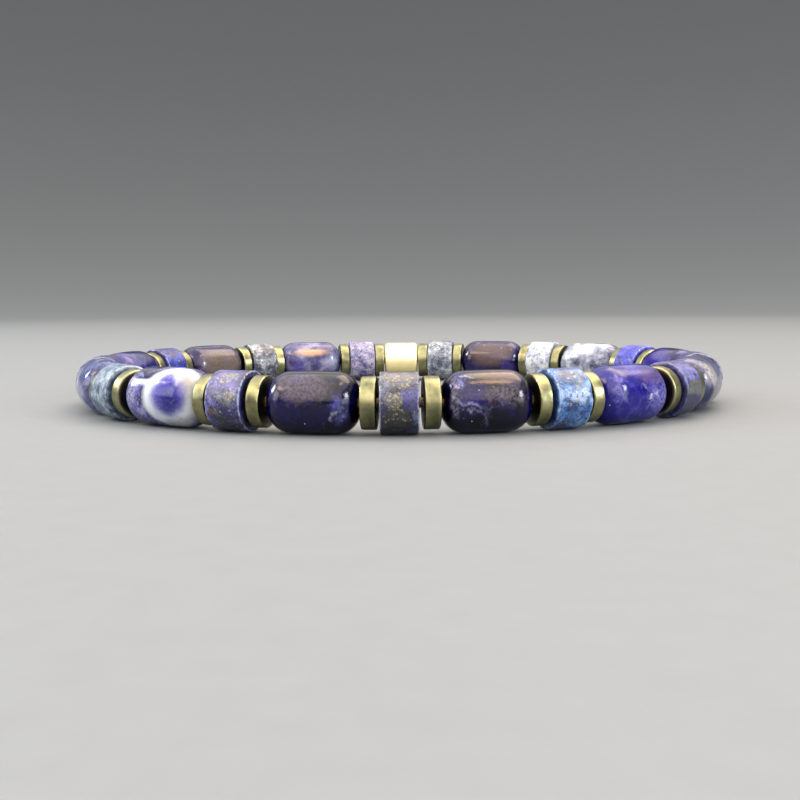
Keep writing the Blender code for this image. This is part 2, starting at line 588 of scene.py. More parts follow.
@dataclass(frozen=True)
class SodaliteFinish:
    """Polished sodalite: clouds of colour, fine veins, tiny sparkles and a wet gloss.

    Lengths are in millimetres. The drift moves the patterns on from each stone to the next.
    """

    look: SodaliteLook
    drift: Point = (11.3, 5.7, 3.1)
    flow: Bend = (0.35, 1.5)
    clouds: Cloud = (0.42, 4.0, 0.6)
    levels: Levels = (0.36, 0.5, 0.68)
    grain: Cloud = (3.4, 4.0, 0.7)
    mottle_span: Span = (0.5, 0.72)
    polish: Cloud = (0.9, 2.0)
    polish_depth: float = 0.012
    grain_depth: float = 0.014
    vein_bend: Bend = (0.6, 0.9)
    vein_sheets: Cloud = (0.34, 1.0)
    vein_width: float = 0.022
    vein_zones: Cloud = (0.3, 1.0)
    vein_zone_span: Span = (0.5, 0.62)
    vein_breaks: Cloud = (2.6, 3.0)
    vein_break_span: Span = (0.35, 0.6)
    crystals: float = 1.5
    crystal_chance: float = 0.72
    crystal_size: float = 0.42
    crystal_edge: float = 0.04
    gloss: float = 0.08
    milk_reach: Colour = (0.8, 0.9, 1.4)
    milk_depth: float = 0.6

    def make(self, station: Station) -> Material:
        """Makes the stone of one bead.

        Args:
            station: the bead's place.

        Returns:
            The material.
        """
        look = self.look
        recipe = Recipe(f"{station.node}_stone")
        bead = recipe.bead_space(station)
        own = recipe.shift(bead, tuple(step * station.number for step in self.drift))
        tone = recipe.cloud(recipe.warp(own, *self.flow), *self.clouds)
        colour = recipe.gradient(tone, self.levels, (look.deep, look.body, look.light))
        grain = recipe.cloud(own, *self.grain)
        colour = recipe.lay(colour, look.light, recipe.between(grain, *self.mottle_span), look.mottling)
        colour = recipe.marks(bead, grain, colour, look.marks, station.radius)
        colour = recipe.lay(colour, look.vein, self.veins(recipe, own), look.veins)
        colour = recipe.lay(colour, SNOW, self.sparkles(recipe, own), look.sparkle)
        colour = recipe.dim(colour, look.depth)
        polish = recipe.relief(recipe.cloud(own, *self.polish), self.polish_depth)
        return recipe.finish(
            Base_Color=colour,
            Roughness=self.gloss,
            IOR=1.48,
            Specular_IOR_Level=0.36,
            Normal=recipe.relief(grain, self.grain_depth, polish),
            Subsurface_Weight=look.milkiness,
            Subsurface_Radius=self.milk_reach,
            Subsurface_Scale=self.milk_depth * MM,
        )

    def veins(self, recipe: Recipe, own: NodeSocket) -> NodeSocket:
        """Finds thin broken veins, where a second cloud lets them through.

        Args:
            recipe: the material's recipe.
            own: the stone's coordinates.

        Returns:
            1 on the veins, 0 beside them.
        """
        sheet = recipe.cloud(recipe.warp(own, *self.vein_bend), *self.vein_sheets)
        ridge = recipe.arithmetic("ABSOLUTE", recipe.minus(sheet, 0.5))
        line = recipe.between(ridge, self.vein_width, 0.0)
        place = recipe.patches(own, self.vein_zones, self.vein_zone_span)
        broken = recipe.times(place, recipe.patches(own, self.vein_breaks, self.vein_break_span))
        return recipe.times(line, broken)

    def sparkles(self, recipe: Recipe, own: NodeSocket) -> NodeSocket:
        """Finds a few tiny points, where small crystals catch the light.

        Args:
            recipe: the material's recipe.
            own: the stone's coordinates.

        Returns:
            1 on the points, 0 beside them.
        """
        away, lot = recipe.cells(own, self.crystals)
        reach = recipe.times(recipe.minus(lot, self.crystal_chance), self.crystal_size)
        return recipe.between(recipe.minus(away, reach), 0.0, -self.crystal_edge)


LAPIS_BLUE = paint(40, 46, 122)
LAPIS_NIGHT = paint(16, 18, 44)
LAPIS_VIOLET = paint(92, 84, 172)
CALCITE = paint(168, 168, 186)
ASH = paint(112, 116, 124)
PYRITE = paint(190, 184, 148)
LILAC_WHITE = paint(196, 186, 200)
BRONZE = paint(96, 76, 52)
ORE = paint(150, 144, 112)
RIM = paint(176, 186, 212)


@dataclass(frozen=True)
class LapisLook:
    """One lapis wheel's own colouring: its tones, how much of each shows, and its marks.

    The golden marks are where pyrite is thick, and the depth is as on a sodalite.
    """

    dark: Colour = LAPIS_NIGHT
    body: Colour = LAPIS_BLUE
    light: Colour = LAPIS_VIOLET
    chalk: Colour = CALCITE
    chalkiness: float = 0.4
    ash: Colour = ASH
    ashiness: float = 0.3
    ore: Colour = ORE
    rim: Colour = RIM
    pyrite: float = 0.5
    depth: float = 0.6
    marks: tuple[Mark, ...] = ()
    golden: tuple[Mark, ...] = ()


@dataclass(frozen=True)
class LapisFinish:
    """Tumbled lapis lazuli: grains of blue, chalky calcite, flecks of pyrite, worn rims, and painted shade
    on the flat sides that face the spacers.

    Lengths are in millimetres. The drift moves the patterns on from each wheel to the next.
    """

    look: LapisLook
    drift: Point = (7.9, 13.1, 4.3)
    flow: Bend = (0.8, 0.5)
    grain: Cloud = (1.5, 5.0, 0.78)
    grain_share: float = 0.65
    zones: Cloud = (0.55, 2.0, 0.6)
    zone_share: float = 0.35
    levels: Levels = (0.42, 0.5, 0.59)
    ash_bend: Bend = (2.6, 0.2)
    ash_grains: float = 2.1
    ash_edge: Span = (0.5, 0.3)
    ash_chance: Span = (0.62, 0.66)
    specks: Cloud = (3.6, 3.0, 0.75)
    chalk_span: Span = (0.54, 0.68)
    pits: Cloud = (2.3, 3.0, 0.65)
    pit_span: Span = (0.46, 0.36)
    pit_cover: float = 0.85
    fleck_bend: Bend = (4.2, 0.2)
    fleck_grains: float = 3.9
    fleck_edge: Span = (0.66, 0.34)
    fleck_breaks: Cloud = (5.2, 2.0)
    fleck_break_span: Span = (0.36, 0.56)
    fleck_zones: Cloud = (0.7, 1.0)
    fleck_chance: float = 0.12
    ore_cover: float = 0.5
    face_shade_cover: float = 0.7
    rim_span: Span = (0.46, 0.94)
    rim_breaks: Span = (0.36, 0.56)
    rim_cover: float = 0.7
    roughness: float = 0.2
    speck_roughness: float = 0.3
    skin: Cloud = (2.2, 5.0, 0.75)
    skin_depth: float = 0.05
    fleck_metal: float = 0.85

    def make(self, station: Station) -> Material:
        """Makes the stone of one wheel.

        Args:
            station: the wheel's place.

        Returns:
            The material.
        """
        look = self.look
        recipe = Recipe(f"{station.node}_stone")
        bead = recipe.bead_space(station)
        own = recipe.shift(bead, tuple(step * station.number for step in self.drift))
        flowing = recipe.warp(own, *self.flow)
        grain = recipe.cloud(flowing, *self.grain)
        zones = recipe.times(recipe.cloud(flowing, *self.zones), self.zone_share)
        tone = recipe.plus(recipe.times(grain, self.grain_share), zones)
        colour = recipe.gradient(tone, self.levels, (look.dark, look.body, look.light))
        colour = recipe.marks(bead, grain, colour, look.marks, station.radius)
        away, lot = recipe.cells(recipe.warp(own, *self.ash_bend), self.ash_grains)
        ashen = recipe.times(recipe.between(away, *self.ash_edge), recipe.between(lot, *self.ash_chance))
        colour = recipe.lay(colour, look.ash, ashen, look.ashiness)
        speck = recipe.cloud(own, *self.specks)
        colour = recipe.lay(colour, look.chalk, recipe.between(speck, *self.chalk_span), look.chalkiness)
        colour = recipe.lay(colour, look.dark, recipe.patches(own, self.pits, self.pit_span), self.pit_cover)
        rich, fleck = self.flecks(recipe, bead, own, station.radius)
        colour = recipe.lay(colour, look.ore, rich, self.ore_cover)
        colour = recipe.mix(fleck, colour, PYRITE)
        # Painted shade: the flat sides that face the spacers darkened
        colour = recipe.lay(colour, look.dark, recipe.attribute("face"), self.face_shade_cover)
        worn = recipe.between(recipe.attribute("edge"), *self.rim_span)
        rim = recipe.times(worn, recipe.between(grain, *self.rim_breaks))
        colour = recipe.lay(colour, look.rim, rim, self.rim_cover)
        colour = recipe.dim(colour, look.depth)
        return recipe.finish(
            Base_Color=colour,
            Metallic=recipe.times(fleck, self.fleck_metal),
            Roughness=recipe.plus(recipe.times(speck, self.speck_roughness), self.roughness),
            IOR=1.5,
            Normal=recipe.relief(recipe.cloud(own, *self.skin), self.skin_depth),
            Coat_Weight=0.12,
            Coat_Roughness=0.15,
        )

    def flecks(
        self, recipe: Recipe, bead: NodeSocket, own: NodeSocket, radius: float
    ) -> tuple[NodeSocket, NodeSocket]:
        """Finds where pyrite shows: scattered flecks, thicker in the golden marks.

        Args:
            recipe: the material's recipe.
            bead: the wheel's coordinates.
            own: the same, moved on to the wheel's own patterns.
            radius: the wheel's radius.

        Returns:
            How rich in pyrite each place is, and 1 on the flecks themselves.
        """
        away, lot = recipe.cells(recipe.warp(own, *self.fleck_bend), self.fleck_grains)
        zones = recipe.cloud(own, *self.fleck_zones)
        rich = recipe.times(zones, self.fleck_chance * self.look.pyrite)
        frayed = recipe.warp(bead, *Fray.FEATHERED.value)
        for mark in self.look.golden:
            rich = recipe.arithmetic("MAXIMUM", rich, recipe.cover(frayed, mark, radius))
        chosen = recipe.arithmetic("GREATER_THAN", recipe.plus(lot, rich), 1.0)
        broken = recipe.patches(own, self.fleck_breaks, self.fleck_break_span)
        fleck = recipe.times(recipe.between(away, *self.fleck_edge), broken)
        return rich, recipe.times(fleck, chosen)


@dataclass(frozen=True)
class AntiqueBrass:
    """Turned brass that has darkened, bright where its edges rub, with painted shade on its end faces
    between the beads. Lengths are in millimetres.
    """

    bright: Colour = (0.3, 0.285, 0.144)
    dull: Colour = (0.115, 0.113, 0.062)
    tarnish_and_shade: Colour = (0.035, 0.032, 0.022)
    wear: Cloud = (0.7, 4.0, 0.6)
    wear_levels: Levels = (0.35, 0.65)
    stains: Cloud = (2.8, 3.0, 0.7)
    stain_span: Span = (0.52, 0.75)
    stain_cover: float = 0.45
    stain_depth: float = 0.01
    face_shade_cover: float = 0.92
    edge_cover: float = 0.8
    rings: Cloud = (9.0, 4.0)
    ring_depth: float = 0.012
    roughness: float = 0.24
    worn_roughness: float = 0.2
    edge_gloss: float = 0.1

    def make(self) -> Material:
        """Makes the spacers' metal.

        Returns:
            The material.
        """
        recipe = Recipe("antique_brass")
        place = recipe.millimetres()
        worn = recipe.cloud(place, *self.wear)
        stained = recipe.cloud(place, *self.stains)
        edge = recipe.attribute("edge")
        colour = recipe.gradient(worn, self.wear_levels, (self.dull, self.bright))
        stain = recipe.between(stained, *self.stain_span)
        colour = recipe.lay(colour, self.tarnish_and_shade, stain, self.stain_cover)
        # Painted shade, with tarnish: the end faces that meet the next beads darkened
        colour = recipe.lay(colour, self.tarnish_and_shade, recipe.attribute("face"), self.face_shade_cover)
        colour = recipe.lay(colour, self.bright, edge, self.edge_cover)
        rough = recipe.plus(recipe.times(worn, self.worn_roughness), self.roughness)
        rough = recipe.minus(rough, recipe.times(edge, self.edge_gloss))
        turned = recipe.relief(recipe.rings(*self.rings), self.ring_depth)
        skin = recipe.relief(stained, self.stain_depth, turned)
        return recipe.finish(Base_Color=colour, Metallic=1.0, Roughness=rough, Normal=skin)


@dataclass(frozen=True)
class PolishedGold:
    """Bright yellow gold with the faint lines of its last polish. Lengths are in millimetres."""

    bright: Colour = (1.0, 0.87, 0.47)
    deep: Colour = (0.98, 0.83, 0.42)
    wear: Cloud = (0.9, 3.0)
    wear_levels: Levels = (0.35, 0.6)
    rings: Cloud = (14.0, 3.0)
    ring_depth: float = 0.004
    roughness: float = 0.36
    worn_roughness: float = 0.12

    def make(self) -> Material:
        """Makes the gold bead's metal.

        Returns:
            The material.
        """
        recipe = Recipe("polished_gold")
        worn = recipe.cloud(recipe.millimetres(), *self.wear)
        colour = recipe.gradient(worn, self.wear_levels, (self.deep, self.bright))
        rough = recipe.plus(recipe.times(worn, self.worn_roughness), self.roughness)
        skin = recipe.relief(recipe.rings(*self.rings), self.ring_depth)
        return recipe.finish(Base_Color=colour, Metallic=1.0, Roughness=rough, Normal=skin)


@dataclass(frozen=True)
class AmberElastic:
    """Stretch cord of fine golden strands, a little see-through, with painted shade in the grooves between
    strands. Lengths are in millimetres.
    """

    bright: Colour = (0.62, 0.38, 0.11)
    deep: Colour = (0.07, 0.034, 0.012)
    clouds: Cloud = (2.0, 3.0)
    cloud_levels: Levels = (0.35, 0.65)
    groove_span: Span = (0.5, 0.1)
    groove_shade_cover: float = 0.5
    strand_depth: float = 0.03
    glow_reach: Colour = (1.0, 0.6, 0.25)
    glow_depth: float = 0.4

    def make(self) -> Material:
        """Makes the cord's material.

        Returns:
            The material.
        """
        recipe = Recipe("amber_elastic")
        strands = recipe.arithmetic("ABSOLUTE", recipe.arithmetic("SINE", recipe.attribute("strand")))
        cloud = recipe.cloud(recipe.millimetres(), *self.clouds)
        colour = recipe.gradient(cloud, self.cloud_levels, (self.deep, self.bright))
        # Painted shade: the grooves between the strands darkened
        grooves = recipe.between(strands, *self.groove_span)
        colour = recipe.lay(colour, self.deep, grooves, self.groove_shade_cover)
        return recipe.finish(
            Base_Color=colour,
            Roughness=0.38,
            Normal=recipe.relief(strands, self.strand_depth),
            Subsurface_Weight=0.2,
            Subsurface_Radius=self.glow_reach,
            Subsurface_Scale=self.glow_depth * MM,
        )


@dataclass(frozen=True)
class PaleFloor:
    """A plain pale surface with the faintest grain."""

    tone: Colour = (0.153, 0.168, 0.178)
    grain: Cloud = (0.4, 3.0)
    grain_levels: Levels = (0.3, 0.7)
    grain_light: float = 0.96

    def make(self) -> Material:
        """Makes the floor's material.

        Returns:
            The material.
        """
        recipe = Recipe("pale_floor")
        grain = recipe.cloud(recipe.millimetres(), *self.grain)
        darker = tuple(self.grain_light * c for c in self.tone)
        colour = recipe.gradient(grain, self.grain_levels, (darker, self.tone))
        return recipe.finish(Base_Color=colour, Roughness=0.6, Specular_IOR_Level=0.3)


def add_object(name: str, data: ID) -> Object:
    """Puts a mesh, a light or a camera into the scene, at the origin."""
    made = bpy.data.objects.new(name, data)
    bpy.context.scene.collection.objects.link(made)
    return made


def closed_pairs(things: Sequence) -> Iterable[tuple]:
    """Pairs each of some things with the next one, and the last with the first."""
    return zip(things, [*things[1:], things[0]])


def round_points(shape: BMesh, points: list[BMVert], size: float, steps: int) -> None:
    """Rounds corners of an outline.

    Args:
        shape: the mesh that holds the outline.
        points: the corners.
        size: how far from each corner its rounding starts.
        steps: the number of edges in each rounding.
    """
    bmesh.ops.bevel(
        shape,
        geom=points,
        affect="VERTICES",
        offset=size,
        offset_type="OFFSET",
        segments=steps,
        profile=0.5,
        material=-1,
    )


def spin_whole(shape: BMesh, axis: Point, steps: int, merge: float) -> None:
    """Spins an outline a whole turn and closes it, with its faces pointing outwards.

    Args:
        shape: the mesh that holds only the outline.
        axis: the axis of the turn, through the origin.
        steps: the number of steps in the turn.
        merge: the distance within which two points become one.
    """
    outline = [*shape.verts, *shape.edges]
    bmesh.ops.spin(shape, geom=outline, cent=(0, 0, 0), axis=axis, angle=tau, steps=steps, use_merge=True)
    bmesh.ops.remove_doubles(shape, verts=shape.verts, dist=merge)
    bmesh.ops.recalc_face_normals(shape, faces=shape.faces)


def make_object(name: str, shape: BMesh, finish: Material) -> Object:
    """Makes a finished shape a smooth object at the origin.

    Args:
        name: the object's name.
        shape: its mesh, in place.
        finish: its material.

    Returns:
        The object.
    """
    mesh = bpy.data.meshes.new(name)
    shape.to_mesh(mesh)
    shape.free()
    mesh.materials.append(finish)
    mesh.shade_smooth()
    return add_object(name, mesh)


def stand_for(made: Object, node: str) -> Object:
    """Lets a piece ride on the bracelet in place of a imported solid.

    Args:
        made: the piece.
        node: the solid that it replaces.

    Returns:
        The same piece.
    """
    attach(made, "root")
    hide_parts(node)
    return made


@dataclass
class TurnedBead:
    """A bead turned round its bore: a rounded outline, spun, then worn a little.

    Sizes are in millimetres. The outer skin is only ever worn inwards, so the bead keeps
    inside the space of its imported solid. The variety sets each bead's wear apart by its heading.
    """

    slot_name: str = ""
    suffix: str = ""
    bore: float = 0.85
    lip: float = 0.12
    lip_steps: int = 2
    corner: float = 0.2
    corner_steps: int = 4
    step: float = 0.4
    turns: int = 96
    merge: float = 0.0005
    sharp_from: float = 50.0
    edge_reach: float = 0.2
    face_start: float = 0.5
    wave: float = 0.0
    wave_scale: float = 1.0
    variety: Point = (0.0, 0.0, 0.0)

    def outline(self, shape: BMesh, station: Station) -> None:
        """Draws the bead's closed outline below its axis, rounded, with even steps.

        Args:
            shape: the empty mesh that takes the outline.
            station: the bead's place and size.
        """
        half, radius = station.length / 2, station.radius
        places = ((-half, -self.bore), (-half, -radius), (half, -radius), (half, -self.bore))
        points = [shape.verts.new((x, y, 0.0)) for x, y in places]
        for first, second in closed_pairs(points):
            shape.edges.new((first, second))
        self.round_corners(shape, (half, radius), self.corner, self.corner_steps)
        self.round_corners(shape, (half, self.bore), self.lip, self.lip_steps)
        skin = [e for e in shape.edges if max(-v.co.y for v in e.verts) > self.bore + self.lip / 2]
        for edge in skin:
            cuts = int(edge.calc_length() / self.step)
            if cuts:
                bmesh.ops.subdivide_edges(shape, edges=[edge], cuts=cuts)

    def round_corners(self, shape: BMesh, at: tuple[float, float], size: float, steps: int) -> None:
        """Rounds the two outline corners at a distance from the middle and a radius."""
        chosen = [v for v in shape.verts if hypot(abs(v.co.x) - at[0], -v.co.y - at[1]) < self.merge]
        round_points(shape, chosen, size, steps)

    def seed(self, station: Station) -> Vector:
        """Where in the noise a bead's own wear lies."""
        return Vector([step * station.heading for step in self.variety])

    def waves(self, point: Vector, station: Station) -> float:
        """The gentle waves that working leaves in the skin, from 0 to twice their size."""
        return self.wave * (1 + noise.noise(point * self.wave_scale + self.seed(station)))

    def wear(self, along: float, radius: float, point: Vector, station: Station) -> tuple[float, float]:
        """How far a point of the skin is worn back.

        Args:
            along: its place along the bore.
            radius: its distance from the bore's axis.
            point: its own place, for noise.
            station: the bead's place and size.

        Returns:
            How far it goes towards the axis, and towards the bead's middle.
        """
        return self.waves(point, station), 0.0

    def build(self, station: Station, finish: Material) -> Object:
        """Builds one bead in its place.

        Args:
            station: its place and size.
            finish: its material.

        Returns:
            The finished piece.
        """
        shape = bmesh.new()
        self.outline(shape, station)
        spin_whole(shape, (1, 0, 0), self.turns, self.merge)
        layers = {name: shape.verts.layers.float.new(name) for name in ("edge", "face", "turning")}
        half, outer = station.length / 2, station.radius
        for vert in shape.verts:
            along, radius = vert.co.x, hypot(vert.co.y, vert.co.z)
            from_corner = hypot(half - abs(along), outer - radius)
            vert[layers["edge"]] = max(0.0, 1.0 - from_corner / self.edge_reach)
            from_skin = (outer - radius) / self.edge_reach
            vert[layers["face"]] = min(1.0, max(0.0, from_skin - self.face_start))
            vert[layers["turning"]] = abs(along) + outer - radius
            if radius > self.bore + self.lip:
                inwards, back = self.wear(along, radius, vert.co.copy(), station)
                scale = (radius - inwards) / radius
                middle = along - (back if along > 0 else -back)
                vert.co = Vector((middle, vert.co.y * scale, vert.co.z * scale))
        shape.transform(station.placing())
        made = make_object(station.node + self.suffix, shape, finish)
        made.data.set_sharp_from_angle(angle=radians(self.sharp_from))
        return stand_for(made, station.node)


@dataclass
class SodaliteBarrel(TurnedBead):
    """A long stone with broadly rounded ends and a slight belly, cut by hand and highly polished."""

    slot_name: str = "sodalite"
    suffix: str = "_polished"
    corner: float = 2.0
    corner_steps: int = 16
    lip: float = 0.06
    belly: float = 0.17
    wave: float = 0.025
    wave_scale: float = 0.32
    variety: Point = (0.0, 0.0, 31.0)

    def wear(self, along: float, radius: float, point: Vector, station: Station) -> tuple[float, float]:
        """The belly and the soft flats of hand polishing, as in TurnedBead."""
        taper = self.belly * (2 * along / station.length) ** 2
        return (taper + self.waves(point, station)) * radius / station.radius, 0.0


@dataclass
class LapisWheel(TurnedBead):
    """A flat stone wheel whose rims are a little chipped and whose skin is a little pitted.

    Each kind of chip is (waves per millimetre, its size in millimetres).
    """

    slot_name: str = "lapis"
    suffix: str = "_cut"
    corner: float = 0.16
    corner_steps: int = 3
    step: float = 0.1
    lip: float = 0.1
    turns: int = 144
    edge_reach: float = 0.34
    wave: float = 0.012
    wave_scale: float = 0.5
    variety: Point = (17.0, 0.0, 0.0)
    chips: tuple[tuple[float, float], ...] = ((1.3, 0.16), (3.1, 0.08))
    chip_reach: float = 0.32
    pit: float = 0.1
    pit_scale: float = 2.3
    pit_chance: float = 0.42

    def wear(self, along: float, radius: float, point: Vector, station: Station) -> tuple[float, float]:
        """Chips at the rims and pits in the skin, as in TurnedBead."""
        seed = self.seed(station)
        from_corner = hypot(station.length / 2 - abs(along), station.radius - radius)
        near = max(0.0, 1.0 - from_corner / self.chip_reach)
        chips = sum(max(0.0, noise.noise(point * scale + seed)) * size * near for scale, size in self.chips)
        hollow = max(0.0, noise.noise(point * self.pit_scale - seed) - self.pit_chance) * self.pit
        return chips + self.waves(point, station) + hollow, chips + 0.5 * hollow


@dataclass
class BrassSpacer(TurnedBead):
    """A thin turned disc with softened edges and small dents from rubbing."""

    slot_name: str = "brass"
    suffix: str = "_turned"
    corner: float = 0.17
    step: float = 0.25
    edge_reach: float = 0.24
    wave: float = 0.012
    wave_scale: float = 1.1
    variety: Point = (23.0, 0.0, 0.0)


@dataclass
class GoldBead(TurnedBead):
    """The one gold bead: a short tube with rounded ends and the faint waves of hand polishing."""

    slot_name: str = "gold"
    suffix: str = "_shining"
    corner: float = 0.55
    corner_steps: int = 8
    turns: int = 128
    wave: float = 0.008
    wave_scale: float = 0.7


@dataclass
class ElasticCord:
    """The stretch cord that runs through every bore, as one closed loop of a radius in millimetres."""

    radius: float = 0.5
    sides: int = 20
    steps_a_bead: int = 4
    strands: int = 14

    def route(self, stations: Sequence[Station]) -> list[Vector]:
        """The cord's centre line: a spline through the points midway between each two beads.

        Args:
            stations: the beads in stringing order.

        Returns:
            The points of the closed line, in metres.
        """
        bends = [(a.end(1) + b.end(-1)) / 2 for a, b in closed_pairs(stations)]
        points = []
        count = len(bends)
        for i in range(count):
            a, b, c, d = (bends[(i + k) % count] for k in (-1, 0, 1, 2))
            # From b to c, along the chord of each one's neighbours at both ends
            for step in range(self.steps_a_bead):
                t = step / self.steps_a_bead
                curve = 2 * b + (c - a) * t + (2 * a - 5 * b + 4 * c - d) * t**2
                points.append((curve + (3 * b - a - 3 * c + d) * t**3) / 2)
        return points

    def build(self, stations: Sequence[Station], finish: Material) -> Object:
        """Builds the cord.

        Args:
            stations: the beads in stringing order.
            finish: its material.

        Returns:
            The finished piece.
        """
        shape = bmesh.new()
        route = self.route(stations)
        strand = shape.verts.layers.float.new("strand")
        rings = []
        reach = self.radius * MM
        for i, point in enumerate(route):
            ahead = route[(i + 1) % len(route)] - route[i - 1]
            turn = Matrix.Rotation(atan2(ahead.y, ahead.x), 4, "Z") @ Matrix.Rotation(pi / 2, 4, "Y")
            place = Matrix.Translation(point) @ turn
            ring = bmesh.ops.create_circle(shape, segments=self.sides, radius=reach, matrix=place)["verts"]
            # Up one side and down the other, so that the strands meet without a seam
            for k, vert in enumerate(ring):
                vert[strand] = min(k, self.sides - k) * self.strands * tau / self.sides / 2
            rings.append(list({e for v in ring for e in v.link_edges}))
        for first, second in closed_pairs(rings):
            bmesh.ops.bridge_loops(shape, edges=first + second)
        bmesh.ops.recalc_face_normals(shape, faces=shape.faces)
        return stand_for(make_object("elastic_cord_amber", shape, finish), "elastic_cord")
